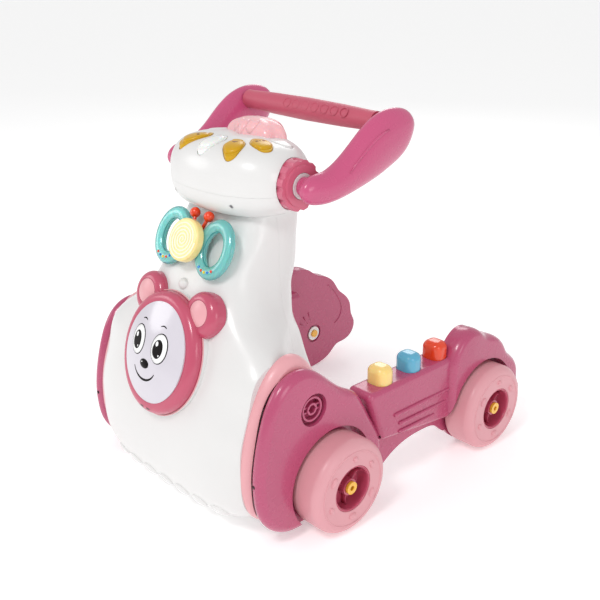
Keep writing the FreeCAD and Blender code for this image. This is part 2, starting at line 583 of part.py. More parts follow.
def build_spinner():
    """Built with +Z out of the neck and +Y towards the head, then leaned back on the neck."""
    hub = Part.makeCylinder(SHAFT_R, 32.0, V(0, 0, -24.0))
    hub = hub.fuse(Part.makeCylinder(SHAFT_R + 3.0, 2.0, V(0, 0, -24.0)))
    hub = hub.fuse(Part.makeCylinder(HUB_R, DISC_BACK - HUB_BACK - GAP, V(0, 0, HUB_BACK)))
    hub = hub.fuse(Part.makeCylinder(DISC_PIN_R, 8.5, V(0, 0, DISC_BACK - GAP)))
    disc = Part.makeCylinder(DISC_R, DISC_DEPTH, V(0, 0, DISC_BACK))
    disc = disc.makeFillet(DISC_ROUND, [e for e in disc.Edges if e.BoundBox.ZLength < 0.01])
    disc = disc.cut(Part.makeCylinder(DISC_PIN_R + RUNNING, 8.5, V(0, 0, DISC_BACK)))
    arm = block((4, WING_X - WING_A), (-5, 5), (HUB_BACK + 1.5, DISC_BACK - 2.0))
    right = wing_form().fuse(arm).cut(Part.makeCylinder(HUB_R + FIT, 40.0, V(0, 0, -10.0)))
    feelers = block((-7, 7), (6, 14), (HUB_BACK + 3.0, DISC_BACK - 3.0))
    for side in (RIGHT, LEFT):
        ball = Part.makeSphere(FEELER_BALL_R, V(side * FEELER_X, FEELER_UP, FEELER_DEPTH))
        stalk = Part.makeCylinder(2.2, FEELER_UP - 10.0, V(side * 5.0, 10.5, FEELER_DEPTH),
                                  V(side * (FEELER_X - 5.0), FEELER_UP - 10.5, 0))
        feelers = feelers.fuse(ball).fuse(stalk)
    feelers = feelers.cut(Part.makeCylinder(HUB_R + FIT, 40.0, V(0, 0, -10.0)))
    pieces = {"spinner_hub": hub, "spinner_disc": disc, "spinner_feelers": feelers,
              "spinner_wing_right": right, "spinner_wing_left": mirrored(right, LEFT)}
    for name, piece in pieces.items():
        save(name, tilted(piece, SPIN_TILT, SPIN_Y, SPIN_Z))


def main():
    os.makedirs("parts", exist_ok=True)
    build_body()
    build_trim()
    build_fenders()
    build_legs()
    build_wheels()
    build_head()
    build_handle()
    build_bear()
    build_spinner()


main()
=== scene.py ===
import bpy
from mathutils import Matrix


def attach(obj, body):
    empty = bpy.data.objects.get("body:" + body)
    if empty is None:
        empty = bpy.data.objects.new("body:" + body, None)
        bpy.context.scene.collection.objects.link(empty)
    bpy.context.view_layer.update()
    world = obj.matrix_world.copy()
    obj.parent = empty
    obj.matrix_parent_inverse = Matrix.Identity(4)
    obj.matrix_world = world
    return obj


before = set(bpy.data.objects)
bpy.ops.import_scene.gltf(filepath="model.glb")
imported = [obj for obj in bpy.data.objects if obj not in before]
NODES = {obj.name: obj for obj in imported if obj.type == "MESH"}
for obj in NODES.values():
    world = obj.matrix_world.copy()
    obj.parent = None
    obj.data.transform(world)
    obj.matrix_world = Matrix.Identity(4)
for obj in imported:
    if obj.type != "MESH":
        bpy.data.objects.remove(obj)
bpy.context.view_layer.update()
import math

import bpy
from mathutils import Matrix, Vector
from mathutils.bvhtree import BVHTree

MIDDLE_Y = 117.58                # mm from the front axle to the origin of the row frame
RIGHT, LEFT = 1, -1
SIDES = {"right": RIGHT, "left": LEFT}

# places taken over from the CAD source, in mm
BEAR_TILT, BEAR_Y, BEAR_Z = 18.0, -113.0, 204.0
FACE_TOP, FACE_DOME_R = 24.0, 185.0
SPIN_TILT, SPIN_Y, SPIN_Z = 25.0, -52.5, 325.0
WING_X, WING_A, WING_B, WING_FRONT = 39.5, 22.5, 28.0, 18.0
DISC_FRONT = 30.0
AXLE_Z, WHEELBASE = 60.0, 286.0
TYRE_OUT = 205.0
HUB_WEB_OUT = 186.5
GRIP_Y, GRIP_Z, GRIP_R = 124.0, 463.0, 13.9
PETAL_HUB_Y = 19.0
PETALS = {"petal_key_1": (-37.0, 57.0), "petal_key_2": (37.0, 57.0), "petal_key_3": (68.0, 57.0),
          "petal_lamp": (0.0, 48.0)}       # angle from the front and distance from the hub
DOOR_FACE_Y = 56.2               # outside of the battery door
PLATE_FACE_X = 153.0             # inner face of a leg plate


def place(x, y, z):
    """A point of the walker in mm, with y from the front axle, as metres in the row frame."""
    return Vector((x, y - MIDDLE_Y, z)) / 1000


def leaned(tilt, y, z):
    """The frame of a part that faces forwards and leans back: x across, y up, z out of the face."""
    s, c = math.sin(math.radians(tilt)), math.cos(math.radians(tilt))
    return Matrix(((1, 0, 0, 0), (0, s, -c, y), (0, c, s, z), (0, 0, 0, 1)))


BEAR = leaned(BEAR_TILT, BEAR_Y, BEAR_Z)
SPIN = leaned(SPIN_TILT, SPIN_Y, SPIN_Z)


def round_angles(count):
    """Even angles round a full turn."""
    return [2 * math.pi * k / count for k in range(count)]


# ---------------------------------------------------------------- materials
FLOW_SCALE, POLISH_SCALE, GRAIN_SCALE = 11.0, 75.0, 1600.0   # noise waves per metre
POLISH_DOWN, POLISH_UP = 0.04, 0.06                          # spread of the roughness
GRAIN_DEPTH = 0.0002                                         # m
PLASTIC_IOR, COAT_ROUGH, GLOW_SCALE = 1.5, 0.12, 0.004


def linear(rgb):
    """An sRGB colour, 0 to 255, as linear values with alpha."""
    shares = [c / 255 for c in rgb]
    return [s / 12.92 if s <= 0.04045 else ((s + 0.055) / 1.055) ** 2.4 for s in shares] + [1.0]


def plastic(name, rgb, rough=0.34, coat=0.25, mottle=0.035, grain=0.05, edge=0.0008, through=0.0,
            glow=0.0, sheen=0.5):
    """Moulded plastic: faint flow mottling, a fine grain, uneven polish and softly rounded edges."""
    made = bpy.data.materials.new(name)
    made.use_nodes = True
    tree = made.node_tree
    shader = tree.nodes["Principled BSDF"]
    where = tree.nodes.new("ShaderNodeTexCoord")
    link = tree.links.new

    def noise(scale, detail):
        node = tree.nodes.new("ShaderNodeTexNoise")
        node.inputs["Scale"].default_value = scale
        node.inputs["Detail"].default_value = detail
        link(where.outputs["Object"], node.inputs["Vector"])
        return node.outputs["Fac"]

    colour = linear(rgb)
    ramp = tree.nodes.new("ShaderNodeValToRGB")
    ramp.color_ramp.elements[0].position, ramp.color_ramp.elements[1].position = 0.3, 0.7
    ramp.color_ramp.elements[0].color = [c * (1 - mottle) for c in colour[:3]] + [1]
    ramp.color_ramp.elements[1].color = [min(1.0, c * (1 + mottle)) for c in colour[:3]] + [1]
    link(noise(FLOW_SCALE, 3.0), ramp.inputs["Fac"])
    link(ramp.outputs["Color"], shader.inputs["Base Color"])
    polish = tree.nodes.new("ShaderNodeMapRange")
    polish.inputs["To Min"].default_value = rough - POLISH_DOWN
    polish.inputs["To Max"].default_value = rough + POLISH_UP
    link(noise(POLISH_SCALE, 4.0), polish.inputs["Value"])
    link(polish.outputs["Result"], shader.inputs["Roughness"])
    soft = tree.nodes.new("ShaderNodeBevel")
    soft.samples = 4
    soft.inputs["Radius"].default_value = edge
    bump = tree.nodes.new("ShaderNodeBump")
    bump.inputs["Strength"].default_value = grain
    bump.inputs["Distance"].default_value = GRAIN_DEPTH
    link(noise(GRAIN_SCALE, 2.0), bump.inputs["Height"])
    link(soft.outputs["Normal"], bump.inputs["Normal"])
    link(bump.outputs["Normal"], shader.inputs["Normal"])
    shader.inputs["IOR"].default_value = PLASTIC_IOR
    shader.inputs["Specular IOR Level"].default_value = sheen
    shader.inputs["Coat Weight"].default_value = coat
    shader.inputs["Coat Roughness"].default_value = COAT_ROUGH
    shader.inputs["Transmission Weight"].default_value = through
    if glow:
        shader.inputs["Subsurface Weight"].default_value = glow
        shader.inputs["Subsurface Scale"].default_value = GLOW_SCALE
    return made


LOOK = {
    "white": plastic("white_shell", (226, 225, 224), rough=0.33, coat=0.3, mottle=0.012),
    "plum": plastic("plum_panel", (184, 74, 112), rough=0.26, coat=0.4),
    "rose": plastic("rose_bezel", (192, 76, 104), rough=0.24, coat=0.4),
    "handle": plastic("handle_pink", (200, 80, 124), rough=0.26, coat=0.4),
    "grip": plastic("grip_rubber", (196, 86, 108), rough=0.46, coat=0.0, grain=0.18),
    "collar": plastic("collar_pink", (210, 104, 130), rough=0.28),
    "blush": plastic("blush_trim", (230, 166, 172), rough=0.34, coat=0.1),
    "tyre": plastic("tyre_vinyl", (222, 158, 166), rough=0.40, coat=0.1, grain=0.15, mottle=0.03,
                    edge=0.0004),
    "flower": plastic("flower_pink", (244, 186, 190), rough=0.28, glow=0.15),
    "petal": plastic("petal_yellow", (206, 158, 2), rough=0.30, coat=0.15, glow=0.1, sheen=0.35),
    "lamp": plastic("petal_clear", (240, 240, 238), rough=0.18, coat=0.5, glow=0.2),
    "face": plastic("face_print_ground", (212, 207, 216), rough=0.18, coat=0.7, mottle=0.03),
    "disc": plastic("disc_cream", (250, 226, 150), rough=0.26, coat=0.4, glow=0.1),
    "spiral": plastic("spiral_ivory", (255, 250, 226), rough=0.3),
    "teal": plastic("wing_clear_teal", (140, 232, 228), rough=0.08, coat=0.6, mottle=0.06,
                    grain=0.02, through=0.5, glow=0.2),
    "teal_line": plastic("wing_edge", (26, 150, 152), rough=0.2, through=0.2),
    "red": plastic("feeler_red", (236, 64, 14), rough=0.22, coat=0.5, glow=0.1),
    "key_yellow": plastic("key_yellow", (252, 216, 130), rough=0.20, coat=0.6, glow=0.15),
    "key_blue": plastic("key_blue", (88, 172, 204), rough=0.20, coat=0.6, glow=0.1),
    "key_red": plastic("key_red", (228, 62, 10), rough=0.20, coat=0.6, glow=0.1),
    "amber": plastic("pin_amber", (246, 188, 58), rough=0.25, coat=0.5, glow=0.1),
    "ink": plastic("print_ink", (14, 8, 10), rough=0.45, coat=0.0, mottle=0.1, sheen=0.15),
    "print_white": plastic("print_white", (250, 250, 250), rough=0.3, mottle=0.015),
    "brown": plastic("mark_brown", (110, 42, 20), rough=0.4),
    # dark: the speaker's own dark colour, and painted shade for slots, holes, wells and screw slots
    # that are not cut
    "dark": plastic("speaker_dark_and_painted_hole_shade", (84, 66, 70), rough=0.55, coat=0.0),
    "steel": plastic("screw_steel", (150, 150, 152), rough=0.35),
    "green": plastic("board_green", (40, 110, 70), rough=0.45),
    "cell": plastic("cell_wrap", (70, 80, 96), rough=0.35),
    "bead_blue": plastic("bead_blue", (40, 130, 220), rough=0.2),
    "bead_yellow": plastic("bead_yellow", (240, 210, 40), rough=0.2),
}

NODE_LOOKS = [
    ("body_", "white"), ("head_", "white"), ("battery_door", "white"), ("battery_cells", "cell"),
    ("circuit_board", "green"), ("speaker", "dark"), ("side_trim", "blush"), ("front_fender", "plum"),
    ("leg_", "plum"), ("tyre", "tyre"), ("hub", "rose"), ("axle_pin", "amber"), ("axle_washer", "lamp"),
    ("handle_arm", "handle"), ("handle_grip", "grip"), ("collar", "collar"), ("bear_bezel", "rose"),
    ("bear_face", "face"), ("ear_pad", "blush"), ("spinner_wing", "teal"), ("spinner_disc", "disc"),
    ("spinner_feelers", "red"), ("spinner_hub", "teal"), ("flower_cover", "flower"),
    ("petal_key", "petal"), ("petal_lamp", "lamp")]
NODE_LOOKS += [(f"key_{side}_{k}", look) for side in SIDES
               for k, look in enumerate(("key_yellow", "key_blue", "key_red"), start=1)]
SMOOTH_ANGLE = math.radians(34)


def dress_cad():
    """Gives each CAD node its material and a smooth shading that keeps its real edges."""
    for name, node in NODES.items():
        look = next(look for start, look in NODE_LOOKS if name.startswith(start))
        node.data.materials.clear()
        node.data.materials.append(LOOK[look])
        for layer in list(node.data.attributes):
            if layer.name == "custom_normal":
                node.data.attributes.remove(layer)
        node.data.polygons.foreach_set("use_smooth", [True] * len(node.data.polygons))
        node.data.polygons.foreach_set("material_index", [0] * len(node.data.polygons))
        weld = node.modifiers.new("weld", "WELD")
        weld.merge_threshold = 1e-5
        split = node.modifiers.new("split", "EDGE_SPLIT")
        split.split_angle = SMOOTH_ANGLE


# ---------------------------------------------------------------- mesh helpers
def piece(name, points, faces, look, body):
    """A mesh piece from points in metres; it moves with the CAD body."""
    mesh = bpy.data.meshes.new(name)
    mesh.from_pydata([tuple(p) for p in points], [], faces)
    mesh.validate()
    mesh.polygons.foreach_set("use_smooth", [True] * len(mesh.polygons))
    mesh.materials.append(LOOK[look])
    made = bpy.data.objects.new(name, mesh)
    bpy.context.scene.collection.objects.link(made)
    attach(made, body)
    return made


def rows_to_faces(rows, closed_rows=False):
    """Quads between rows of equal length; each row is a closed ring of point numbers."""
    faces = []
    pairs = list(zip(rows, rows[1:] + rows[:1])) if closed_rows else list(zip(rows, rows[1:]))
    for a, b in pairs:
        for k in range(len(a)):
            n = (k + 1) % len(a)
            faces.append((a[k], a[n], b[n], b[k]))
    return faces


def tube(name, path, radii, look, body, closed=False, around=10):
    """A round rod along points in mm, with capped ends; radii is one number or one for each point."""
    path = [Vector(p) for p in path]
    count = len(path)
    radii = [radii] * count if isinstance(radii, (int, float)) else radii
    points, rows = [], []
    side = None
    for k, p in enumerate(path):
        after = path[(k + 1) % count] if closed or k < count - 1 else p
        before = path[k - 1] if closed or k else p
        along = (after - before).normalized()
        if side is None:
            side = along.orthogonal().normalized()
        side = (side - along * side.dot(along)).normalized()
        other = along.cross(side)
        row = []
        for j in range(around):
            a = 2 * math.pi * j / around
            row.append(len(points))
            points.append(p + (side * math.cos(a) + other * math.sin(a)) * radii[k])
        rows.append(row)
    faces = rows_to_faces(rows, closed)
    if not closed:
        faces += [tuple(reversed(rows[0])), tuple(rows[-1])]
    return piece(name, [place(*p) for p in points], faces, look, body)


END_RINGS = 3                    # rings in the rounded end of a rod


def rod(name, path, radius, look, body):
    """A rod with rounded ends."""
    path = [Vector(p) for p in path]
    start, finish = (path[1] - path[0]).normalized(), (path[-1] - path[-2]).normalized()
    full, radii = [], []
    for k in range(END_RINGS):
        a = math.pi / 2 * (k + 0.35) / END_RINGS
        full.append(path[0] - start * radius * math.cos(a))
        radii.append(radius * math.sin(a))
    full += path
    radii += [radius] * len(path)
    for k in reversed(range(END_RINGS)):
        a = math.pi / 2 * (k + 0.35) / END_RINGS
        full.append(path[-1] + finish * radius * math.cos(a))
        radii.append(radius * math.sin(a))
    return tube(name, full, radii, look, body)


def lens(name, to_mm, outline, lift, look, body, sink=0.4, rings=4, crown=0.0):
    """A thin raised shape: outline is (a, b) pairs on a surface, to_mm(a, b, height) a point in mm."""
    count = len(outline)
    ca, cb = [sum(p[i] for p in outline) / count for i in (0, 1)]
    points, rows = [], []
    for k in range(1, rings + 1):
        share = k / rings
        height = lift + crown * (1 - share * share)
        if k == rings:
            height = 0.35 * lift
        rows.append(range(len(points), len(points) + count))
        for a, b in outline:
            points.append(to_mm(ca + (a - ca) * share, cb + (b - cb) * share, height))
    rows.append(range(len(points), len(points) + count))
    points += [to_mm(a, b, -sink) for a, b in outline]
    top, bottom = len(points), len(points) + 1
    points += [to_mm(ca, cb, lift + crown), to_mm(ca, cb, -sink)]
    faces = rows_to_faces([list(r) for r in rows])
    for k in range(count):
        n = (k + 1) % count
        faces.append((rows[0][n], rows[0][k], top))
        faces.append((rows[-1][k], rows[-1][n], bottom))
    return piece(name, [place(*p) for p in points], faces, look, body)


def stroke(name, to_mm, line, widths, lift, look, body, sink=0.4):
    """A raised stroke along (a, b) pairs on a surface, with a half width at each."""
    points, rows = [], []
    for k, (a, b) in enumerate(line):
        after, before = line[min(k + 1, len(line) - 1)], line[max(k - 1, 0)]
        da, db = after[0] - before[0], after[1] - before[1]
        size = math.hypot(da, db) or 1.0
        na, nb = -db / size * widths[k], da / size * widths[k]
        section = [(-1, 0.3 * lift), (-0.6, lift), (0, lift), (0.6, lift), (1, 0.3 * lift),
                   (1, -sink), (-1, -sink)]
        rows.append(list(range(len(points), len(points) + len(section))))
        points += [to_mm(a + na * s, b + nb * s, h) for s, h in section]
    faces = rows_to_faces(rows) + [tuple(reversed(rows[0])), tuple(rows[-1])]
    return piece(name, [place(*p) for p in points], faces, look, body)


def ellipse(ca, cb, ra, rb, turn=0.0, count=28):
    """An oval outline about (ca, cb), turned by some degrees."""
    t = math.radians(turn)
    out = []
    for a in round_angles(count):
        u, v = ra * math.cos(a), rb * math.sin(a)
        out.append((ca + u * math.cos(t) - v * math.sin(t), cb + u * math.sin(t) + v * math.cos(t)))
    return out


TREES = {}                       # node name: its mesh, ready for rays


def hit(node, start, towards):
    """The point (mm) and outward normal where a ray in mm meets a CAD node."""
    if node not in TREES:
        mesh = NODES[node].data
        TREES[node] = BVHTree.FromPolygons([v.co for v in mesh.vertices],
                                           [p.vertices for p in mesh.polygons])
    origin, direction = place(*start), Vector(towards).normalized()
    found, normal, _, _ = TREES[node].ray_cast(origin, direction)
    if found is None:
        raise ValueError(f"nothing of {node} from {start} towards {towards}")
    if normal.dot(direction) > 0:
        normal = -normal
    return Vector((found.x * 1000, found.y * 1000 + MIDDLE_Y, found.z * 1000)), normal


def patch_frame(point, normal):
    """to_mm for a flat patch that touches a surface at a point; its b direction is nearest to up."""
    up = Vector((0, 0, 1))
    b = up - normal * up.dot(normal)
    b.normalize()
    a = b.cross(normal)
    return lambda u, v, h: point + a * u + b * v + normal * h


def dome(name, to_mm, ra, rb, height, look, body, sink=1.5):
    """A smooth bump on a patch."""
    outline = ellipse(0, 0, ra, rb, count=24)
    rings, points, rows = 5, [], []
    for k in range(1, rings + 1):
        slope = math.pi / 2 * k / rings
        share, rise = math.sin(slope), height * math.cos(slope)
        rows.append(list(range(len(points), len(points) + len(outline))))
        points += [to_mm(a * share, b * share, rise) for a, b in outline]
    rows.append(list(range(len(points), len(points) + len(outline))))
    points += [to_mm(a, b, -sink) for a, b in outline]
    top, bottom = len(points), len(points) + 1
    points += [to_mm(0, 0, height), to_mm(0, 0, -sink)]
    faces = rows_to_faces(rows)
    for k in range(len(outline)):
        n = (k + 1) % len(outline)
        faces += [(rows[0][n], rows[0][k], top), (rows[-1][k], rows[-1][n], bottom)]
    return piece(name, [place(*p) for p in points], faces, look, body)


def screw(name, point, normal, radius, body):
    """A cross-head screw: a raised lip, a steel head and a dark cross of painted shade for its slots.
    """
    to_mm = patch_frame(point, normal)
    ring = [to_mm(radius * math.cos(a), radius * math.sin(a), 0.1) for a in round_angles(28)]
    tube(name + "_lip", ring, 0.45, "white", body, closed=True, around=8)
    lens(name + "_well", to_mm, ellipse(0, 0, radius * 0.9, radius * 0.9), 0.12, "steel", body)
    long, short = radius * 0.55, radius * 0.12
    # the cross is painted shade standing for the screw's slots
    for k, (ra, rb) in enumerate(((long, short), (short, long))):
        lens(f"{name}_cross_{k}", to_mm, ellipse(0, 0, ra, rb), 0.3, "dark", body, sink=0.1)


# ---------------------------------------------------------------- the bear
FACE_SHIFT = -5.0                # the printed face looks a little to one side
EYE_X, EYE_LEAN = 21.0, -4.0
BROW_X, BROW_Y, BROW_STEP, BROW_RISE, BROW_POINTS = 14, 34.0, 1.6, 1.6, 7
SMILE_Y, SMILE_A, SMILE_B, SMILE_HALF, SMILE_POINTS = -15.0, 22.0, 20.0, 66, 25
NUB_Z = 283                      # the small nub above the bear
SEAT_A, SEAT_B = 69.2, 75.2      # half sizes of the bead round the bear's seat


def on_face(a, b, height):
    """to_mm for the domed face: a is across, b is up."""
    z = FACE_TOP - FACE_DOME_R + math.sqrt(FACE_DOME_R ** 2 - a * a - b * b)
    return BEAR @ Vector((a, b, z + height))


def build_face():
    for side_name, side in SIDES.items():
        x, lean = side * EYE_X + FACE_SHIFT, EYE_LEAN * side
        for part, outline, lift, look in (
                ("rim", ellipse(x, 8.8, 14.0, 18.6, lean), 0.16, "ink"),
                ("white", ellipse(x - 0.5, 8.6, 12.9, 17.5, lean), 0.32, "print_white"),
                ("iris", ellipse(x - 2.0, 7.8, 9.6, 13.2, lean), 0.46, "ink"),
                ("glint", ellipse(x - 4.6, 13.6, 2.6, 3.6), 0.60, "print_white"),
                ("spark", ellipse(x + 1.6, 0.8, 1.1, 1.5), 0.60, "print_white")):
            lens(f"eye_{part}_{side_name}", on_face, outline, lift, look, "body")
        brow = [(side * (BROW_X + BROW_STEP * k) + FACE_SHIFT,
                 BROW_Y + BROW_RISE * math.sin(math.pi * k / (BROW_POINTS - 1)))
                for k in range(BROW_POINTS)]
        widths = [0.35 + 0.45 * math.sin(math.pi * (k + 0.5) / BROW_POINTS)
                  for k in range(BROW_POINTS)]
        stroke("brow_" + side_name, on_face, brow, widths, 0.2, "ink", "body")
    lens("nose", on_face, ellipse(FACE_SHIFT, -15.5, 8.4, 5.6), 0.9, "ink", "body", crown=1.2)
    lens("nose_glint", on_face, ellipse(FACE_SHIFT - 2.4, -13.8, 1.6, 1.1), 1.9, "print_white",
         "body", sink=0.0)
    smile, widths = [], []
    for k in range(SMILE_POINTS):
        t = math.radians(-SMILE_HALF + 2 * SMILE_HALF * k / (SMILE_POINTS - 1))
        smile.append((SMILE_A * math.sin(t) + FACE_SHIFT, SMILE_Y - SMILE_B * math.cos(t)))
        widths.append(0.5 + 1.0 * math.sin(math.pi * (k + 0.5) / SMILE_POINTS))
    stroke("smile", on_face, smile, widths, 0.25, "ink", "body")


def build_bear_trim():
    for number, x in enumerate((-6.0, 6.0)):
        start = BEAR @ Vector((x, -68.5, 60.0))
        point, normal = hit("bear_bezel", start, BEAR.to_3x3() @ Vector((0, 0, -1)))
        # dark ovals of painted shade stand for the bezel's slots
        lens(f"bezel_slot_painted_shade_{number}", patch_frame(point, normal), ellipse(0, 0, 3.6, 1.3), 0.12,
             "dark", "body")
    point, normal = hit("body_front_shell", (0, -300, NUB_Z), (0, 1, 0))
    dome("neck_nub", patch_frame(point, normal), 7.5, 7.0, 4.5, "white", "body")
    ring = [BEAR @ Vector((SEAT_A * math.cos(a), SEAT_B * math.sin(a), 0.2)) for a in round_angles(72)]
    tube("seat_bead", ring, 0.8, "blush", "body", closed=True, around=8)


# ---------------------------------------------------------------- spinner
SPIRAL_TURNS, SPIRAL_STEPS = 5.0, 180
SPIRAL_START, SPIRAL_GROWTH = 1.6, 21.2      # radii in mm
RAILS = (("wing_bead_rail", 28.0, 33.5, 13.0, 1.2), ("wing_inner_rail", 16.2, 21.6, 14.2, 1.1))
BEADS = ("bead_blue", "red", "bead_yellow", "bead_blue", "red")
BEAD_START, BEAD_STEP, BEAD_R = -120, 15, 1.7


def build_spinner():
    path = []
    for k in range(SPIRAL_STEPS):
        share = k / (SPIRAL_STEPS - 1)
        r, a = SPIRAL_START + SPIRAL_GROWTH * share, 2 * math.pi * SPIRAL_TURNS * share
        path.append(SPIN @ Vector((r * math.cos(a), r * math.sin(a), DISC_FRONT)))
    rod("disc_spiral", path, 1.0, "spiral", "spiral_disc")
    outwards = (SPIN.to_3x3() @ Vector((0, 0, 1))).normalized()
    for side_name, side in SIDES.items():
        for name, wide, tall, depth, radius in RAILS:
            rail = [SPIN @ Vector((side * (WING_X + wide * math.cos(a)), tall * math.sin(a), depth))
                    for a in round_angles(60)]
            tube(f"{name}_{side_name}", rail, radius, "teal_line", "body", closed=True, around=8)
        for k, look in enumerate(BEADS):
            a = math.radians(BEAD_START + BEAD_STEP * k)
            middle = SPIN @ Vector((side * (WING_X + WING_A * math.cos(a)), WING_B * math.sin(a),
                                    WING_FRONT - 0.2))
            dome(f"wing_bead_{side_name}_{k}", patch_frame(middle, outwards), BEAD_R, BEAD_R, BEAD_R,
                 look, "body", sink=1.4)


# ---------------------------------------------------------------- wheels
# raised blobs on a tyre: angle, distance of the middle, half sizes along and across the radius
BLOBS = ((86, 39.0, 3.6, 3.4), (33, 37.5, 5.4, 3.6), (-30, 37.0, 5.8, 3.4), (-90, 37.5, 6.2, 3.8),
         (-158, 38.5, 4.6, 3.4), (146, 38.5, 6.6, 4.0))
BLOB_RISE = 3.2
TYRE_LINE_R, LIP_R = 48.0, 28.4
HUB_RIBS = 3
RIB_LINE = ((9.5, 9.0), (14.0, 7.5), (20.0, 6.5), (27.0, 8.5))   # distance and height of a rib


def hub_rib(name, turn, face, body):
    """A rib with a rounded crest from the boss to the rim of a hub."""
    points = []
    for q, rise in RIB_LINE:
        section = ((-1.1, -1.0), (-0.9, rise - 0.4), (0, rise), (0.9, rise - 0.4), (1.1, -1.0))
        for across, height in section:
            a = q * math.cos(turn) - across * math.sin(turn)
            b = q * math.sin(turn) + across * math.cos(turn)
            points.append(place(*face(a, b, height, HUB_WEB_OUT)))
    rows = [list(range(5 * i, 5 * i + 5)) for i in range(len(RIB_LINE))]
    faces = rows_to_faces(rows) + [tuple(reversed(rows[0])), tuple(rows[-1])]
    piece(name, points, faces, "rose", body)


def build_wheels():
    for end, y in (("front", 0.0), ("rear", WHEELBASE)):
        for side_name, side in SIDES.items():
            wheel = f"{end}_{side_name}"
            body = "wheel_" + wheel

            def face(a, b, height, base=TYRE_OUT):
                return Vector((side * (base + height), y + a, AXLE_Z + b))

            ring = [face(TYRE_LINE_R * math.cos(t), TYRE_LINE_R * math.sin(t), -0.1)
                    for t in round_angles(72)]
            tube("tyre_line_" + wheel, ring, 0.9, "tyre", body, closed=True, around=8)
            for k, (angle, r, ra, rb) in enumerate(BLOBS):
                t = math.radians(angle)

                def spot(a, b, height, t=t, r=r):
                    u, v = r + b, a
                    return face(u * math.cos(t) - v * math.sin(t), u * math.sin(t) + v * math.cos(t),
                                height)

                dome(f"tyre_blob_{wheel}_{k}", spot, ra, rb, BLOB_RISE, "tyre", body)
            for k in range(HUB_RIBS):
                hub_rib(f"hub_rib_{wheel}_{k}", math.radians(120 * k + 30), face, body)
            lip = [face(LIP_R * math.cos(t), LIP_R * math.sin(t), -1.6) for t in round_angles(60)]
            tube("hub_lip_" + wheel, lip, 1.3, "rose", body, closed=True, around=8)


# ---------------------------------------------------------------- legs
RIDGES = ((108, 214, 105, 104), (118, 208, 90, 88), (118, 186, 78, 76.5))   # y and z of both ends
PLATE_ARC = [(318, 136), (330, 126), (340, 112), (348, 97), (350, 84), (345, 72), (334, 64)]
RAY_ANGLES, RAY_LINE, RAY_WIDTHS = (108, 124, 140), (26, 34, 42), [0.7, 1.2, 1.6]
FENDER_HOLE_X, FENDER_HOLE_Z = 160, 92


def smooth_line(line, steps=6):
    """Points on a smooth curve through the points of a line, all but its last one."""
    smooth = []
    for i in range(len(line) - 1):
        p0, p1 = line[max(i - 1, 0)], line[i]
        p2, p3 = line[i + 1], line[min(i + 2, len(line) - 1)]
        for step in range(steps):
            t = step / steps
            smooth.append(tuple(0.5 * (2 * b + (c - a) * t + (2 * a - 5 * b + 4 * c - d) * t * t
                                       + (3 * b - a - 3 * c + d) * t ** 3)
                                for a, b, c, d in zip(p0, p1, p2, p3)))
    return smooth


def build_legs():
    for side_name, side in SIDES.items():
        for k, (y0, y1, z0, z1) in enumerate(RIDGES):
            path = [(side * 174.6, y0, z0), (side * 174.4, (y0 + y1) / 2, (z0 + z1) / 2),
                    (side * 173.4, y1, z1)]
            rod(f"housing_ridge_{side_name}_{k}", path, 2.6, "plum", "body")
        point, normal = hit("front_fender_" + side_name, (side * FENDER_HOLE_X, -300, FENDER_HOLE_Z),
                            (0, 1, 0))
        # a black oval of painted shade stands for the hole in the fender
        lens("fender_hole_painted_shade_" + side_name, patch_frame(point, normal), ellipse(0, 0, 2.0, 2.4), 0.1,
             "ink", "body")
        arc = [(side * PLATE_FACE_X, y, z) for y, z in smooth_line(PLATE_ARC)]
        rod("plate_arc_" + side_name, arc, 1.3, "plum", "body")
        for k, angle in enumerate(RAY_ANGLES):
            t = math.radians(angle)
            path = [(side * (PLATE_FACE_X + 0.2), WHEELBASE + q * math.cos(t), AXLE_Z + q * math.sin(t))
                    for q in RAY_LINE]
            tube(f"plate_ray_{side_name}_{k}", path, RAY_WIDTHS, "plum", "body", around=8)


# ---------------------------------------------------------------- head
# a petal's raised top: half its outline from the outer end to the inner one, from its middle
PETAL_TOP = [(5.0, 17.0), (9.4, 12.0), (11.6, 1.0), (9.6, -8.0), (4.8, -14.5)]
PETAL_LIFT, PETAL_CROWN = 1.8, 0.9
MARK_BASE = 2.55                 # height of the printed marks above the CAD petal
LEAF = [(0, 17), (7, 13), (11, 2), (8, -11), (3, -16), (-3, -16), (-8, -11), (-11, 2), (-7, 13)]
LEAF_ANGLE, LEAF_DISTANCE = 95.0, 58.0
BLOSSOMS = ((-13, 35), (0, 0), (13, -35))    # x and lean
HEAD_SCREW_X, HEAD_SCREW_Z = 52.0, 381.0


def on_top(node):
    """to_mm for something printed or embossed on top of a node: a is x, b is y, seen from above."""
    def to_mm(a, b, height):
        point, normal = hit(node, (a, b, 600), (0, 0, -1))
        return point + normal * height
    return to_mm


def turned(points, angle, distance):
    """Points of a mark, its b direction away from the hub of the petals, put at its petal."""
    t = math.radians(angle)
    return [(a * math.cos(t) + (distance + b) * math.sin(t),
             PETAL_HUB_Y - (distance + b) * math.cos(t) + a * math.sin(t)) for a, b in points]


def rounded(outline):
    """A closed outline with its corners cut, and cut again."""
    for _ in range(2):
        cut = []
        for (a, b), (c, d) in zip(outline, outline[1:] + outline[:1]):
            cut += [(0.75 * a + 0.25 * c, 0.75 * b + 0.25 * d),
                    (0.25 * a + 0.75 * c, 0.25 * b + 0.75 * d)]
        outline = cut
    return outline


def petal_marks():
    """Plain printed marks for the petal keys: two dots, an arrow, and two dots with a bar."""
    def dot(x, y, radius):
        return ellipse(x, y, radius, radius, count=16)

    return {"petal_key_1": [dot(-2.6, -2, 1.9), dot(2.6, -2, 1.9)],
            "petal_key_2": [[(-3.4, -5), (3.4, -5), (2.3, -2.6), (0, 0.8), (-2.3, -2.6)]],
            "petal_key_3": [dot(-4.0, -3, 1.8), dot(4.0, -3, 1.8),
                            [(-0.5, -6), (0.5, -6), (0.5, 0.5), (-0.5, 0.5)]]}


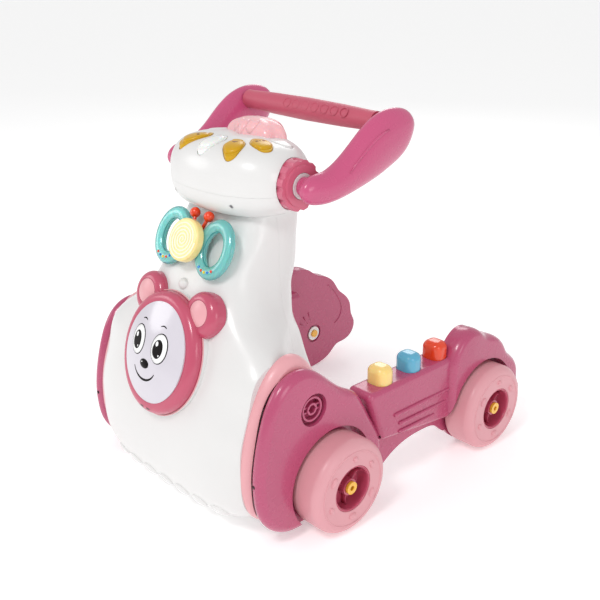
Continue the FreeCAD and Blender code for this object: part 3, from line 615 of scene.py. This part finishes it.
def build_head():
    petal_top = rounded(PETAL_TOP + [(-a, b) for a, b in reversed(PETAL_TOP)])
    for node, (angle, distance) in PETALS.items():
        look, body = ("lamp", "body") if node == "petal_lamp" else ("petal", node)
        lens(node + "_top", on_top(node), turned(petal_top, angle, distance), PETAL_LIFT, look, body,
             sink=0.6, rings=6, crown=PETAL_CROWN)
    for node, shapes in petal_marks().items():
        surface = on_top(node)

        def top(a, b, height, surface=surface):
            return surface(a, b, height + MARK_BASE)

        for k, shape in enumerate(shapes):
            lens(f"{node}_mark_{k}", top, turned(shape, *PETALS[node]), 0.18, "brown", node, sink=0.2,
                 rings=2)
    for side_name, side in SIDES.items():
        lens("leaf_emboss_" + side_name, on_top("head_upper_shell"),
             turned(LEAF, LEAF_ANGLE * side, LEAF_DISTANCE), 0.9, "white", "body", sink=0.8)
    for k, (x, angle) in enumerate(BLOSSOMS):
        outline = ellipse(x * 0.9, 17.5 + abs(x) * 0.28, 6.2, 8.2, angle, 20)
        lens(f"blossom_{k}", on_top("flower_cover"), outline, 0.9, "flower", "body", sink=0.8,
             crown=0.8)
    for side_name, side in SIDES.items():
        point, normal = hit("head_lower_shell", (side * HEAD_SCREW_X, -300, HEAD_SCREW_Z), (0, 1, 0))
        screw("head_screw_" + side_name, point, normal, 2.8, "body")


# ---------------------------------------------------------------- handle
GRIP_RINGS, GRIP_RING_R, GRIP_RING_STEP, GRIP_RING_SHIFT = 7, 6.0, 16.5, 22.0
GRIP_RING_LEAN = 150             # degrees round the grip, from its back
ARM_RIDGE = [(54, 417), (66, 428), (80, 439), (94, 448.5), (107, 455), (118, 458)]
ARM_RIDGE_WIDTHS = [0.4, 1.1, 1.5, 1.7, 1.5, 0.5]


def build_handle():
    for k in range(GRIP_RINGS):
        x = GRIP_RING_STEP * (k - GRIP_RINGS // 2) + GRIP_RING_SHIFT
        ring = []
        for a in round_angles(24):
            lean = math.radians(GRIP_RING_LEAN) + GRIP_RING_R * math.sin(a) / GRIP_R
            ring.append((x + GRIP_RING_R * math.cos(a), GRIP_Y + GRIP_R * math.cos(lean),
                         GRIP_Z + GRIP_R * math.sin(lean)))
        tube(f"grip_ring_{k}", ring, 0.7, "grip", "handle", closed=True, around=8)
    for side_name, side in SIDES.items():
        def on_arm(a, b, height, arm="handle_arm_" + side_name, side=side):
            point, normal = hit(arm, (side * 300, a, b), (-side, 0, 0))
            return point + normal * height

        stroke("arm_ridge_" + side_name, on_arm, ARM_RIDGE, ARM_RIDGE_WIDTHS, 0.9, "handle", "handle")


# ---------------------------------------------------------------- back and lower edge
GRILLE_ROWS, GRILLE_REACH, GRILLE_STEP, GRILLE_Z = 5, 3, 9.0, 300
DOOR_Z, DOOR_SCREW_X = 101, 30
DOOR_RIBS, DOOR_RIB_X, DOOR_RIB_Z, DOOR_RIB_STEP = 5, 16, 90, 5.5
SWITCH_Z = 200
SWITCH_WELL = [(-13, -5), (0, -6), (13, -5), (14, 0), (13, 5), (0, 6), (-13, 5), (-14, 0)]
SHELL_SCREWS = ((-52, 250), (52, 250), (-60, 60), (60, 60))      # x and z
HEM_LOBES, HEM_STEP, HEM_Z = 7, 33.0, 33


def build_back():
    def wall(x, z):
        return hit("body_rear_shell", (x, 400, z), (0, -1, 0))

    for row in range(GRILLE_ROWS):
        for column in range(-GRILLE_REACH, GRILLE_REACH + 1):
            if abs(column) + abs(row - GRILLE_ROWS // 2) > 4:
                continue
            point, normal = wall(column * GRILLE_STEP, GRILLE_Z + row * GRILLE_STEP)
            # dark ovals of painted shade stand for the grille's holes
            lens(f"grille_painted_shade_{row}_{column + 3}", patch_frame(point, normal),
                 ellipse(0, 0, 3.0, 1.4, count=14), 0.1, "dark", "body", rings=2)
    for k, x in enumerate((-DOOR_SCREW_X, DOOR_SCREW_X)):
        point, normal = hit("battery_door", (x, 400, DOOR_Z), (0, -1, 0))
        screw(f"door_screw_{k}", point, normal, 2.8, "body")
    for k in range(DOOR_RIBS):
        z = DOOR_RIB_Z + DOOR_RIB_STEP * k
        path = [(x, DOOR_FACE_Y, z) for x in (-DOOR_RIB_X, 0, DOOR_RIB_X)]
        rod(f"door_rib_{k}", path, 1.1, "white", "body")
    flat = patch_frame(*wall(0, SWITCH_Z))
    # a dark lens of painted shade stands for the switch's well
    lens("switch_well_painted_shade", flat, SWITCH_WELL, 0.15, "dark", "body")
    lens("switch_slider", flat, ellipse(-5.5, 0, 5.0, 3.8), 2.2, "petal", "body", crown=0.6)
    for k, (x, z) in enumerate(SHELL_SCREWS):
        point, normal = wall(x, z)
        screw(f"shell_screw_{k}", point, normal, 3.0, "body")


def build_hem():
    """The row of shallow scallops along the lower front edge of the white body."""
    for k in range(HEM_LOBES):
        x = HEM_STEP * (k - HEM_LOBES // 2)
        point, normal = hit("body_front_shell", (x, -320, HEM_Z), (0, 1, 0))
        dome(f"hem_{k}", patch_frame(point, normal), 12.5, 9.5, 3.4, "white", "body")


# ---------------------------------------------------------------- camera, light, floor
CAMERA_AT = Vector((829.24, -681.26, 662.21))
CAMERA_AZ, CAMERA_EL = math.radians(46.387), math.radians(21.524)
SENSOR, LENS = 36.0, 55.0614     # mm
WORLD_LIGHT, FLOOR_GLOW, FLOOR_HALF = 0.66, 0.28, 12.0
AIM = (0, 0, 0.22)
LIGHTS = (("key", (0.5, -1.5, 1.9), 0.55, 14), ("fill", (1.9, -0.3, 0.8), 0.8, 4),
          ("left", (-1.5, -1.3, 0.9), 0.8, 4), ("rim", (-1.2, 1.6, 1.5), 1.0, 7))


def build_camera():
    level = math.cos(CAMERA_EL)
    back = Vector((math.sin(CAMERA_AZ) * level, -math.cos(CAMERA_AZ) * level, math.sin(CAMERA_EL)))
    right = Vector((math.cos(CAMERA_AZ), math.sin(CAMERA_AZ), 0))
    up = back.cross(right)
    data = bpy.data.cameras.new("camera")
    data.sensor_width = SENSOR
    data.lens = LENS
    camera = bpy.data.objects.new("camera", data)
    camera.matrix_world = Matrix((right, up, back)).transposed().to_4x4()
    camera.location = place(*CAMERA_AT)
    bpy.context.scene.collection.objects.link(camera)
    bpy.context.scene.camera = camera


def area(name, at, size, power):
    """A round soft light that looks at the middle of the walker."""
    data = bpy.data.lights.new(name, "AREA")
    data.shape = "DISK"
    data.size = size
    data.energy = power
    light = bpy.data.objects.new(name, data)
    light.location = at
    light.rotation_euler = (Vector(AIM) - Vector(at)).to_track_quat("-Z", "Y").to_euler()
    bpy.context.scene.collection.objects.link(light)


def build_studio():
    world = bpy.data.worlds.new("studio")
    world.use_nodes = True
    background = world.node_tree.nodes["Background"]
    background.inputs["Color"].default_value = (1.0, 1.0, 1.0, 1)
    background.inputs["Strength"].default_value = WORLD_LIGHT
    bpy.context.scene.world = world
    for name, at, size, power in LIGHTS:
        area(name, at, size, power)
    mesh = bpy.data.meshes.new("floor")
    corners = [(x * FLOOR_HALF, y * FLOOR_HALF, 0) for x, y in ((-1, -1), (1, -1), (1, 1), (-1, 1))]
    mesh.from_pydata(corners, [], [(0, 1, 2, 3)])
    floor = bpy.data.objects.new("floor", mesh)
    bpy.context.scene.collection.objects.link(floor)
    pale = plastic("floor_pale", (250, 250, 250), rough=0.9, coat=0.0, mottle=0.004, grain=0.0,
                   edge=0.0)
    shader = pale.node_tree.nodes["Principled BSDF"]
    shader.inputs["Emission Color"].default_value = (1, 1, 1, 1)
    shader.inputs["Emission Strength"].default_value = FLOOR_GLOW
    mesh.materials.append(pale)
    bpy.context.scene.view_settings.view_transform = "Standard"


dress_cad()
build_face()
build_bear_trim()
build_spinner()
build_wheels()
build_legs()
build_head()
build_handle()
build_back()
build_hem()
build_camera()
build_studio()
